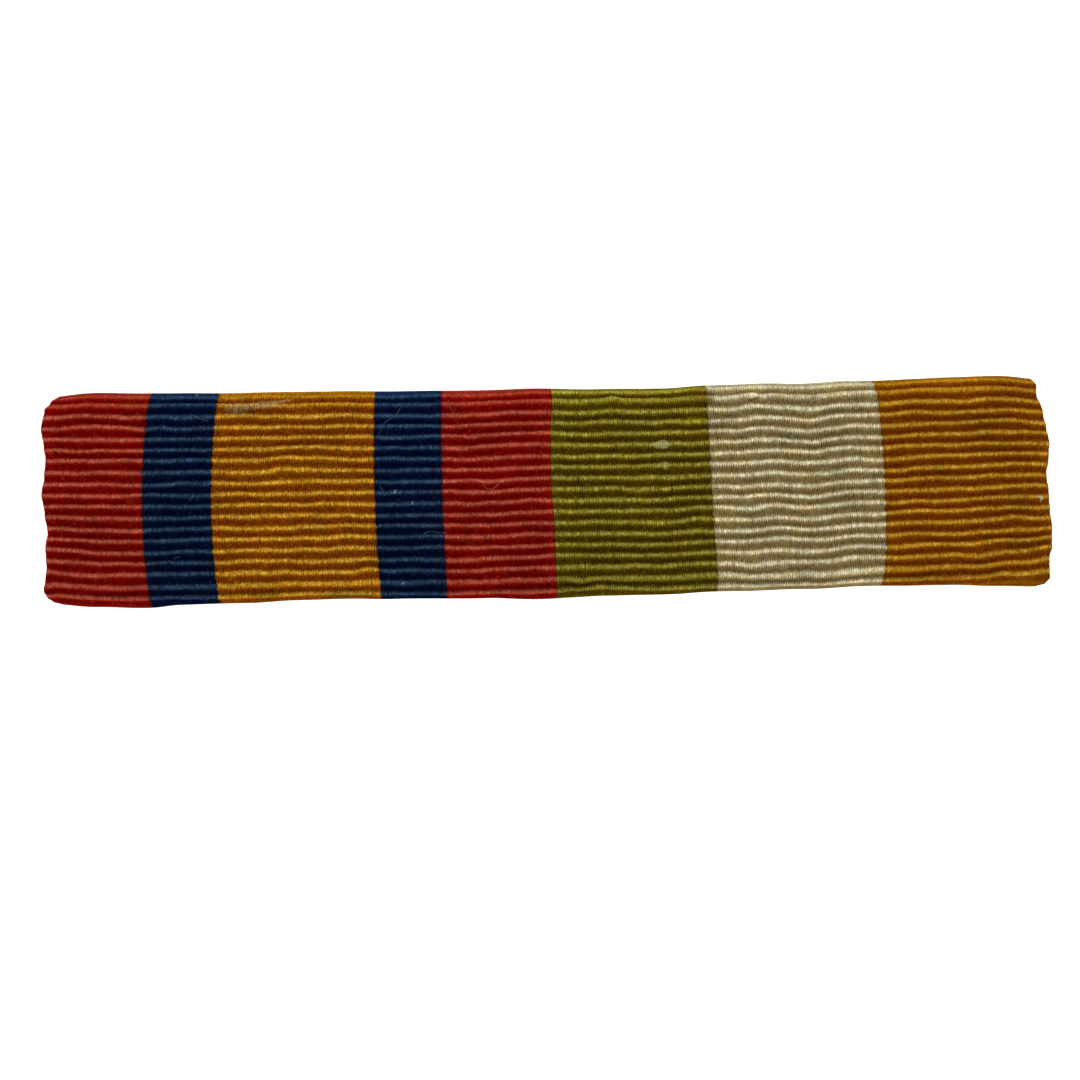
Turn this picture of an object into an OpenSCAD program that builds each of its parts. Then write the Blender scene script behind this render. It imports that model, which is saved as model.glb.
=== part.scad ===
// Ribbon bar: two ribbed silk ribbons side by side, wrapped round a flat plate, with a brooch pin
// behind it. It lies face up on its pin. X runs along the bar, +Y is the bar's top edge and +Z its
// face. The origin is on the surface that it lies on, under the middle of the bar. Sizes are in mm.

/* [Ribbons] */
// Width of one ribbon, which is half of the bar's length
ribbon_w = 32.2; // [24:0.1:40]
// Height of the dressed bar, over the ribs of its top and bottom folds
bar_h = 13.8; // [11:0.1:16]
// Thickness of the cloth, half way up its ribs
cloth_t = 1; // [0.8:0.05:1.4]
// Distance from one rib of the cloth to the next
rib_pitch = 0.71; // [0.6:0.01:1]
// Height of a rib over the groove beside it
rib_h = 0.24; // [0.1:0.01:0.4]
// How far a long edge of the bar dips where the cloth pulls it in most
edge_wave = 0.4; // [0.1:0.05:0.6]
// How far an end of the bar draws in where its woven edge waves most
end_wave = 0.34; // [0.1:0.02:0.5]

/* [Plate] */
// Thickness of the backing plate
plate_t = 0.8; // [0.5:0.05:1.2]
// How far the cloth reaches past each end of the plate
plate_inset = 1; // [0.5:0.1:3]
// Radius of the plate's corners
plate_corner_r = 1.2; // [0.4:0.1:3]

/* [Brooch pin] */
// Distance from the middle of the hinge block to the middle of the catch
pin_span = 30; // [20:0.5:36]
// Width of the strip that carries the hinge block and the catch
strip_w = 4.6; // [3.6:0.1:5]
// Thickness of the strip
strip_t = 0.6; // [0.4:0.05:1]
// How far the strip reaches past the middle of the hinge block and of the catch
strip_over = 4; // [3.5:0.1:6]
// Diameter of the needle
needle_d = 0.9; // [0.6:0.05:1.2]
// Length of the needle's tapered point
point_l = 3; // [1:0.1:5]
// Room for a garment's cloth between the needle and the back of the ribbons
garment_gap = 1; // [0.5:0.1:3]
// Length of the hinge block along the bar
hinge_l = 3.4; // [2.4:0.1:4.4]
// Length of the catch along the bar
catch_l = 2.6; // [1.5:0.1:4]
// How far the hinge block and the catch stand in from each side of the strip
foot_inset = 0.2; // [0.1:0.05:0.5]
// Thickness of the catch's arm, lip and wall
catch_t = 0.65; // [0.4:0.05:0.8]
// Height of the catch's lip over its arm
lip_h = 0.9; // [0.4:0.1:1.2]
// Radius of the rounded lower edges of the hinge block and of the catch
foot_r = 0.6; // [0.2:0.1:0.9]

/* [Clearances] */
// Gap between pieces that lie against each other
fit = 0.05; // [0.02:0.01:0.15]
// Gap between the needle and the catch's arm
needle_fit = 0.1; // [0.05:0.05:0.3]
// Gap between the strip and the turned-in ends of the ribbons
strip_fit = 0.5; // [0.3:0.1:1.5]

/* [Hidden] */
$fn = 48;

// Course of the cloth along the bar. Columns: share of the bar's length from its left end, dip of
// the top edge, lift of the ribs half way down, rise of the bottom edge. The last three are shares
// of edge_wave.
course = [
    [0.00, 0.55, 0.60, 0.90],
    [0.05, 0.00, 0.30, 0.60],
    [0.10, 0.25, 0.15, 0.25],
    [0.20, 0.45, 0.08, 0.47],
    [0.29, 0.45, -0.02, 0.80],
    [0.34, 0.65, -0.10, 0.62],
    [0.43, 0.75, -0.25, 0.40],
    [0.48, 0.65, -0.12, 0.00],
    [0.55, 0.95, -0.32, 0.25],
    [0.61, 1.00, -0.40, 0.24],
    [0.66, 0.65, -0.32, 0.50],
    [0.74, 0.60, -0.15, 0.57],
    [0.81, 0.50, -0.08, 0.80],
    [0.90, 0.20, 0.15, 0.57],
    [0.95, 0.00, 0.35, 0.20],
    [1.00, 0.50, 0.55, 0.00]
];
TOP = 1;
MIDDLE = 2;
BOTTOM = 3;

// Woven edges down the bar. Columns: share of the bar's height from its top edge, inset of the
// left end, shift of the joint between the ribbons to the left, inset of the right end. The last
// three are shares of end_wave.
ends = [
    [0.00, 2.40, 0.00, 2.00],
    [0.04, 1.10, 0.05, 1.60],
    [0.09, 0.70, 0.10, 1.90],
    [0.19, 0.25, 0.45, 0.95],
    [0.27, 0.55, 0.60, 0.55],
    [0.33, 0.85, 0.60, 0.10],
    [0.41, 0.55, 0.65, 0.35],
    [0.49, 0.00, 0.60, 0.90],
    [0.58, 0.50, 0.45, 0.55],
    [0.67, 1.00, 0.25, 0.45],
    [0.74, 0.55, 0.25, 0.15],
    [0.85, 0.70, 0.30, 0.30],
    [0.90, 0.40, 0.15, 0.90],
    [0.94, 0.00, 0.05, 0.80],
    [0.97, 0.50, 0.00, 0.60],
    [1.00, 2.80, 0.00, 1.20]
];
LEFT = 1;
JOINT = 2;
RIGHT = 3;

// One rib of the cloth. Columns: share of rib_pitch from the rib's top, depth as a share of rib_h.
rib = [
    [0.00, 0.00],
    [0.28, 0.25],
    [0.50, 1.00],
    [0.72, 0.25]
];
// Place of one rib's top, as a share of rib_pitch below the middle of the face
rib_start = 0.95;
// Depth at a cut end of the cloth, as a share of rib_h
cut_depth = 0.6;
// How closely the dips of the two long edges keep to those edges
edge_power = 4;

// Steps of a ribbon's wall along the bar
width_steps = 14;
// Steps round the inside of one fold, and the longest step of the inside elsewhere
fold_steps = 6;
inner_step = 1.2;

bar_l = 2 * ribbon_w;
// Thickness of the cloth over a rib
crest_t = cloth_t + rib_h / 2;
// Radius of a fold inside the cloth, and outside it over the ribs
fold_in_r = plate_t / 2 + fit;
fold_r = fold_in_r + crest_t;
// Half of the flat stretch between the folds
flat_half = bar_h / 2 - fold_r;
// Cloth from the middle of the face to the start and end of a fold, and to the cut end
fold_end = flat_half + PI * fold_r;
cloth_end = fold_end + flat_half - strip_w / 2 - strip_fit;

plate_l = bar_l - 2 * plate_inset;
plate_h = 2 * (flat_half - edge_wave);

foot_w = strip_w - 2 * foot_inset;
needle_z = catch_t + needle_fit + needle_d / 2;
plate_z = needle_z + needle_d / 2 + garment_gap + crest_t + fit;
strip_z = plate_z - fit - strip_t;
wrap_z = plate_z + plate_t / 2;

// Places along the cloth of the outer wall's points, each with its depth in the ribs
rib_count = ceil(cloth_end / rib_pitch);
outer_stations = concat(
    [[-cloth_end, cut_depth]],
    [for (k = [-rib_count:rib_count])
        for (row = rib)
            let (s = (k + rib_start + row[0]) * rib_pitch)
            if (abs(s) < cloth_end - rib_pitch / 8)
                [s, row[1]]],
    [[cloth_end, cut_depth]]
);
// Places along the cloth of the inner wall's points
face_steps = ceil(2 * flat_half / inner_step);
flap_steps = ceil((cloth_end - fold_end) / inner_step);
inner_stations = concat(
    stepped(-cloth_end, -fold_end, flap_steps),
    stepped(-fold_end, -flat_half, fold_steps),
    stepped(-flat_half, flat_half, face_steps),
    stepped(flat_half, fold_end, fold_steps),
    stepped(fold_end, cloth_end, flap_steps),
    [cloth_end]
);

// Even steps from one number up to another, which is left out
function stepped(from, to, steps) = [for (i = [0:steps - 1]) from + (to - from) * i / steps];

// Row of a table in which share s lies
function row_of(table, s, i = 0) =
    i >= len(table) - 2 || s < table[i + 1][0] ? i : row_of(table, s, i + 1);

// A column of a table at share s, easing from row to row
function eased(table, column, s) =
    let (
        i = row_of(table, s),
        a = table[i],
        b = table[i + 1],
        t = min(max((s - a[0]) / (b[0] - a[0]), 0), 1)
    )
    a[column] + (b[column] - a[column]) * (1 - cos(180 * t)) / 2;

// Point [y, z] of the flat wrapped cloth, s along it from the middle of the face, on a wall whose
// folds have radius r, moved in by depth
function wrapped(s, r, depth = 0) =
    let (
        side = s < 0 ? 1 : -1,
        past = abs(s) - flat_half,
        turn = min(max(past / fold_r, 0), PI) * 180 / PI,
        run = abs(s) <= flat_half ? abs(s) : flat_half - max(abs(s) - fold_end, 0),
        reach = r - depth
    )
    [side * (run + reach * sin(turn)), wrap_z + reach * cos(turn)];

// Ends of one ribbon, 0 for the left and 1 for the right, at height y
function ribbon_left(which, y) =
    let (down = 0.5 - y / bar_h)
    which == 0
        ? end_wave * eased(ends, LEFT, down) - ribbon_w
        : fit / 2 - end_wave * eased(ends, JOINT, down);
function ribbon_right(which, y) =
    let (down = 0.5 - y / bar_h)
    which == 0
        ? -fit / 2 - end_wave * eased(ends, JOINT, down)
        : ribbon_w - end_wave * eased(ends, RIGHT, down);

// The cloth's own course carries a point up or down, without changing its depth
function lifted(x, y) =
    let (
        along = x / bar_l + 0.5,
        near_edge = pow(abs(2 * y / bar_h), edge_power),
        edge = y > 0 ? -eased(course, TOP, along) : eased(course, BOTTOM, along)
    )
    y + edge_wave * (edge * near_edge + eased(course, MIDDLE, along) * (1 - near_edge));

// Point of a ribbon, from a share of its width and a point [y, z] of the wrapped cloth
function placed(which, share, p) =
    let (
        left = ribbon_left(which, p[0]),
        x = left + (ribbon_right(which, p[0]) - left) * share
    )
    [x, lifted(x, p[0]), p[1]];

// Inner point nearest to a place along the cloth
function nearest_inner(s) =
    len([for (i = [1:len(inner_stations) - 1])
        if ((inner_stations[i - 1] + inner_stations[i]) / 2 <= s) i]);

// One ribbon as a closed wall, ribbed outside and smooth inside
module ribbon(which) {
    outer_n = len(outer_stations);
    inner_n = len(inner_stations);
    ring_n = outer_n + inner_n;
    outer_ring = [for (row = outer_stations) wrapped(row[0], fold_r, rib_h * row[1])];
    inner_ring = [for (i = [inner_n - 1:-1:0]) wrapped(inner_stations[i], fold_in_r)];
    ring = concat(outer_ring, inner_ring);
    points = [for (i = [0:width_steps])
        for (p = ring)
            placed(which, i / width_steps, p)];
    walls = [for (i = [0:width_steps - 1])
        for (j = [0:ring_n - 1])
            let (
                a = i * ring_n + j,
                b = i * ring_n + (j + 1) % ring_n
            )
            each [[a, b, b + ring_n], [a, b + ring_n, a + ring_n]]];
    // An end closes between each outer stretch and the inner point nearest to it
    nearest = [for (i = [0:outer_n - 2])
        nearest_inner((outer_stations[i][0] + outer_stations[i + 1][0]) / 2)];
    stretch_caps = [for (i = [0:outer_n - 2]) [i, i + 1, ring_n - 1 - nearest[i]]];
    turn_caps = [for (i = [0:outer_n - 1])
        let (
            from = i == 0 ? 0 : nearest[i - 1],
            to = i == outer_n - 1 ? inner_n - 1 : nearest[i]
        )
        if (to > from)
            for (j = [from:to - 1])
                [i, ring_n - 2 - j, ring_n - 1 - j]];
    cap = concat(stretch_caps, turn_caps);
    last = width_steps * ring_n;
    near_cap = [for (f = cap) [f[0], f[2], f[1]]];
    far_cap = [for (f = cap) [f[0] + last, f[1] + last, f[2] + last]];
    polyhedron(points, concat(walls, near_cap, far_cap), convexity = 6);
}

module ribbon_five_stripe() {
    color("firebrick")
        ribbon(0);
}

module ribbon_three_stripe() {
    color("olivedrab")
        ribbon(1);
}

// Flat plate with round corners, which the ribbons are wrapped round
module backing_plate() {
    corner_x = plate_l / 2 - plate_corner_r;
    corner_y = plate_h / 2 - plate_corner_r;
    color("darkgoldenrod")
        translate([0, 0, plate_z])
            linear_extrude(plate_t)
                union() {
                    square([plate_l, 2 * corner_y], center = true);
                    square([2 * corner_x, plate_h], center = true);
                    for (x = [-corner_x, corner_x])
                        for (y = [-corner_y, corner_y])
                            translate([x, y])
                                circle(r = plate_corner_r);
                }
}

// Side view of a block that stands on a flat foot with round edges
module foot_outline(w, h) {
    translate([-w / 2, foot_r])
        square([w, h - foot_r]);
    translate([foot_r - w / 2, 0])
        square([w - 2 * foot_r, 2 * foot_r]);
    for (x = [foot_r - w / 2, w / 2 - foot_r])
        translate([x, foot_r])
            circle(r = foot_r);
}

module strip() {
    end_x = pin_span / 2 + strip_over - strip_w / 2;
    translate([0, 0, strip_z])
        linear_extrude(strip_t)
            union() {
                square([2 * end_x, strip_w], center = true);
                for (x = [-end_x, end_x])
                    translate([x, 0])
                        circle(d = strip_w);
            }
}

// The blocks run half way into the strip, which they are one piece with
module hinge_block() {
    translate([pin_span / 2, foot_w / 2, 0])
        rotate([90, 0, 0])
            linear_extrude(foot_w)
                foot_outline(hinge_l, strip_z + strip_t / 2);
}

// Catch with an arm under the needle, a wall on one side and a lip on the other
module catch() {
    throat_w = foot_w - 2 * catch_t;
    translate([-pin_span / 2 - catch_l / 2, 0, 0])
        rotate([90, 0, 90])
            linear_extrude(catch_l)
                difference() {
                    foot_outline(foot_w, strip_z + strip_t / 2);
                    translate([-throat_w / 2, catch_t])
                        square([throat_w, strip_z]);
                    translate([-foot_w, catch_t + lip_h])
                        square([foot_w, strip_z]);
                }
}

// Needle from inside the hinge block to the outer side of the catch, where its point ends
module needle() {
    shaft_l = pin_span + catch_l / 2 - point_l;
    translate([pin_span / 2, 0, needle_z])
        rotate([0, -90, 0]) {
            cylinder(h = shaft_l, d = needle_d);
            translate([0, 0, shaft_l])
                cylinder(h = point_l, d1 = needle_d, d2 = needle_d / 5);
        }
}

module brooch_pin() {
    color("silver")
        union() {
            strip();
            hinge_block();
            catch();
            needle();
        }
}

ribbon_five_stripe();
ribbon_three_stripe();
backing_plate();
brooch_pin();
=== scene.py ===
# Dresses the ribbon bar's solids: ribbed silk on both ribbons, aged brass on the plate, worn steel on
# the brooch pin. Lengths are in metres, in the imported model's frame: X runs along the bar, +Y is its
# top edge and +Z its face. Tables hold their lengths in millimetres or as shares of a named size.

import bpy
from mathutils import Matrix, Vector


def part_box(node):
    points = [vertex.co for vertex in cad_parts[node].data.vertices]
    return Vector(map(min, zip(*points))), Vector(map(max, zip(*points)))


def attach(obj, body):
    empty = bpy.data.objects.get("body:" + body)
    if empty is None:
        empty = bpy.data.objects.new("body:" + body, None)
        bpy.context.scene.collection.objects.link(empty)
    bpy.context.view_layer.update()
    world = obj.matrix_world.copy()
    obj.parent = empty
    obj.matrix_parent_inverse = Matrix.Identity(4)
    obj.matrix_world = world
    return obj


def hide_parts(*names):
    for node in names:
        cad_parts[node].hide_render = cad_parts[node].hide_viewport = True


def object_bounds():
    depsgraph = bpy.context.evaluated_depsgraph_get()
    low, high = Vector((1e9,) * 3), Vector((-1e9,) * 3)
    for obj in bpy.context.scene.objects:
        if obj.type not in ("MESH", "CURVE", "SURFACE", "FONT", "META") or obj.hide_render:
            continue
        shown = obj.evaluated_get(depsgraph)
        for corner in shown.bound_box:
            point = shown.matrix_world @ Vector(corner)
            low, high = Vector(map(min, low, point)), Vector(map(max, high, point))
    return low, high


bl_info = {
    "name": "Ribbon Bar",
    "version": (1, 0, 0),
    "blender": (4, 5, 0),
    "location": "View3D > Sidebar > Ribbon Bar",
    "description": "Ribbed silk ribbons, plate and brooch pin of a ribbon bar, with a pale stage",
    "category": "Object",
}

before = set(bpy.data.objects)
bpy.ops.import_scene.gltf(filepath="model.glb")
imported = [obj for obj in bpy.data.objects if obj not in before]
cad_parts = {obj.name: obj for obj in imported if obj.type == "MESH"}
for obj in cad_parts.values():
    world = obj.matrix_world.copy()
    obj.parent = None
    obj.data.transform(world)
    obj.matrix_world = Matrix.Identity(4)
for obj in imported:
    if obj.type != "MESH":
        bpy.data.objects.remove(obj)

import math

import bpy
import numpy as np

MM = 0.001
CAD_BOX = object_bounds()
PLATE_LOW, PLATE_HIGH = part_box("backing_plate")

# Course of the cloth along the bar. Columns: share of the bar's length from its left end, dip of
# the top edge, lift of the ribs half way down, rise of the bottom edge. The last three are shares
# of the edge wave.
COURSE = np.array([
    (0.00, 0.60, 0.74, 1.20),
    (0.05, 0.00, 0.45, 0.58),
    (0.10, 0.22, 0.32, 0.25),
    (0.13, 0.26, 0.28, 0.58),
    (0.20, 0.45, 0.15, 0.64),
    (0.24, 0.45, 0.15, 0.85),
    (0.29, 0.45, 0.14, 0.88),
    (0.34, 0.62, -0.02, 0.62),
    (0.43, 0.78, -0.22, 0.40),
    (0.48, 0.65, 0.05, 0.00),
    (0.55, 0.95, -0.15, 0.33),
    (0.61, 1.00, -0.25, 0.30),
    (0.66, 0.62, -0.12, 0.58),
    (0.74, 0.58, -0.25, 0.57),
    (0.81, 0.38, -0.10, 0.82),
    (0.87, 0.22, 0.36, 0.66),
    (0.90, 0.12, 0.42, 0.57),
    (0.95, 0.00, 0.62, 0.24),
    (1.00, 0.50, 0.50, -0.10),
])
TOP, MIDDLE, BOTTOM = 1, 2, 3

# How much the ribs crowd into the folds along the bar. Columns: share of the bar's length from its
# left end, share of the slide into the top fold, share of the slide into the bottom fold.
CROWDS = np.array([
    (0.00, 0.75, 0.45),
    (0.10, 0.75, 0.42),
    (0.13, 0.70, 0.60),
    (0.17, 0.47, 0.62),
    (0.24, 0.35, 0.67),
    (0.30, 0.42, 0.88),
    (0.38, 0.40, 1.02),
    (0.46, 0.45, 0.72),
    (0.49, 0.70, 0.48),
    (0.52, 0.80, 0.32),
    (0.56, 0.90, 0.55),
    (0.61, 0.95, 0.80),
    (0.64, 1.20, 0.82),
    (0.68, 0.90, 0.90),
    (0.75, 0.90, 1.00),
    (0.81, 0.75, 0.90),
    (0.85, 0.65, 0.75),
    (0.89, 1.05, 0.60),
    (0.93, 1.05, 0.35),
    (0.955, 0.90, -0.05),
    (1.00, 0.40, -0.25),
])

# Woven edges down the bar. Columns: share of the bar's height from its top edge, inset of the left
# end, shift of the joint between the ribbons to the left, inset of the right end. The last three
# are shares of the end wave.
ENDS = np.array([
    (0.00, 2.90, 0.00, 2.30),
    (0.05, 1.75, 0.06, 1.98),
    (0.09, 0.78, 0.10, 2.30),
    (0.19, 0.12, 0.45, 1.10),
    (0.27, 0.55, 0.60, 0.55),
    (0.33, 0.85, 0.60, 0.10),
    (0.41, 0.55, 0.65, 0.35),
    (0.49, 0.00, 0.60, 0.90),
    (0.58, 0.50, 0.45, 0.55),
    (0.67, 1.00, 0.25, 0.45),
    (0.74, 0.55, 0.25, 0.15),
    (0.85, 0.70, 0.30, 0.30),
    (0.90, 0.40, 0.15, 0.90),
    (0.94, 0.00, 0.05, 0.80),
    (0.97, 0.50, 0.00, 0.50),
    (0.99, 1.40, 0.00, 1.00),
    (1.00, 2.80, 0.00, 2.40),
])
LEFT, JOINT, RIGHT = 1, 2, 3

# How each stripe is woven and where its painted highlight lies, from left to right. Columns: ribbon,
# dye, plainness of the warp threads, fuzz, softness of the lower side of the painted highlight lines,
# share of their paleness at the top edge, how much lighter the top is painted than the middle as
# painted light, how far the red, green and blue of a line draw in to its middle.
STRIPES = (
    (0, "crimson", 0.20, 0.70, 0.15, 0.55, 0.04, (0.15, 0.70, 0.95)),
    (0, "navy", 0.25, 1.00, 0.17, 0.68, 0.10, (0.76, 0.60, 0.50)),
    (0, "gold", 0.66, 0.80, 0.10, 0.52, -0.02, (0.00, 0.15, 1.20)),
    (0, "navy", 0.25, 1.00, 0.17, 0.72, 0.15, (0.76, 0.60, 0.50)),
    (0, "crimson", 0.25, 0.75, 0.17, 0.55, 0.03, (0.15, 0.70, 0.95)),
    (1, "olive", 0.80, 0.80, 0.17, 0.80, 0.12, (0.00, 0.00, 1.05)),
    (1, "cream", 0.86, 0.55, 0.11, 0.66, 0.00, (0.00, 0.00, 0.15)),
    (1, "orange", 0.30, 0.70, 0.15, 0.60, 0.00, (0.00, 0.10, 1.15)),
)

# Where one stripe meets the next. Columns: ribbon, share of its width in the flat cloth, distance
# from the middle of the bar at the top edge, half way down and at the bottom edge (mm).
SEAMS = np.array([
    (0, 0.200, -25.30, -25.97, -25.57),
    (0, 0.335, -21.03, -21.67, -21.31),
    (0, 0.650, -11.23, -11.42, -11.13),
    (0, 0.783, -7.03, -7.14, -6.97),
    (1, 0.317, 9.93, 10.06, 10.36),
    (1, 0.661, 20.86, 21.28, 21.04),
])

# How far the ribs slide along the cloth into the folds. Columns: place on the cloth as a share of
# the way from the middle of the face to the end of a fold, slide into the top fold, slide into the
# bottom fold. The slides are shares of the rib pitch.
SLIDES = np.array([
    (0.00, 0.00, 0.00),
    (0.34, 0.00, 0.02),
    (0.46, 0.03, 0.12),
    (0.53, 0.12, 0.24),
    (0.60, 0.46, 0.57),
    (0.68, 0.85, 0.95),
    (0.76, 0.50, 0.60),
    (1.00, 0.00, 0.00),
])

# Where the painted highlight lines blur on the folds. Columns: shares of the way along the cloth where
# the blur starts, is full, ends and is last full, then the paleness there.
FOLD_BLURS = (
    (0.248, 0.238, 0.194, 0.208, 0.45),
    (0.757, 0.768, 0.800, 0.786, 0.08),
)

# Local rises and dips of the ribs. Columns: place along and across the bar, reach along and across
# it, lift towards the top edge (mm).
RIPPLES = np.array([
    (13.6, 5.0, 1.5, 2.2, 0.10),
    (14.0, 1.6, 1.7, 2.6, 0.11),
    (14.6, -2.0, 1.8, 2.6, 0.10),
    (15.4, -5.2, 1.7, 2.2, 0.09),
    (16.5, 4.6, 1.4, 2.6, -0.10),
    (16.7, 0.6, 1.5, 3.0, -0.09),
    (17.0, -3.8, 1.5, 2.8, -0.08),
    (19.2, 3.2, 1.7, 3.2, 0.07),
    (19.6, -2.4, 1.7, 3.2, 0.07),
    (1.8, 4.0, 1.2, 2.2, -0.05),
    (3.6, 5.2, 0.9, 1.4, 0.03),
    (-29.0, 4.4, 1.8, 1.6, 0.06),
    (-31.5, -3.6, 2.6, 2.2, 0.12),
    (-31.8, -5.0, 0.9, 1.2, 0.13),
    (-15.5, 1.4, 2.4, 1.8, 0.06),
    (-9.6, 5.4, 1.3, 1.2, -0.10),
    (8.9, -2.4, 1.0, 1.7, 0.12),
    (11.9, 3.5, 0.8, 1.1, -0.13),
    (13.6, -5.5, 1.4, 0.9, -0.12),
    (18.6, 0.8, 1.5, 1.6, 0.07),
    (19.0, -4.6, 1.7, 1.1, 0.12),
    (22.6, 0.4, 1.0, 1.4, -0.07),
    (23.6, 4.6, 1.2, 1.6, 0.07),
    (27.1, -5.2, 1.2, 1.0, -0.14),
    (32.0, 4.0, 1.4, 3.2, -0.13),
    (32.2, -4.9, 1.2, 1.6, 0.28),
    (31.3, -5.3, 1.0, 1.0, 0.12),
    (29.6, -2.7, 1.2, 0.6, 0.10),
    (28.0, 2.8, 0.8, 1.0, 0.07),
    (21.2, -5.3, 1.8, 0.7, 0.10),
    (19.3, 5.7, 1.2, 0.7, 0.10),
    (17.6, -1.0, 1.4, 1.8, 0.06),
    (12.3, -1.2, 0.8, 1.2, -0.12),
    (12.3, -4.9, 0.8, 1.3, -0.15),
    (0.2, 0.4, 2.2, 0.9, 0.05),
    (-3.9, -4.1, 1.2, 0.7, 0.10),
    (-11.9, -4.9, 0.8, 0.9, 0.14),
    (-13.4, -3.3, 1.0, 1.0, 0.10),
    (-17.3, 1.5, 0.9, 0.9, 0.12),
    (-30.9, -4.8, 1.2, 1.2, 0.07),
    (3.85, 5.95, 0.45, 0.42, 0.14),
    (12.5, 5.75, 0.75, 0.40, 0.12),
    (13.5, 5.75, 0.35, 0.45, -0.10),
    (12.8, 4.95, 0.80, 0.35, 0.10),
    (15.0, -6.0, 0.9, 0.5, -0.12),
    (17.0, -5.9, 0.8, 0.5, -0.10),
    (26.2, -5.9, 0.5, 0.3, 0.06),
    (1.6, -5.9, 0.6, 0.6, -0.12),
    (2.9, -6.0, 0.8, 0.5, 0.10),
])
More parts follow.
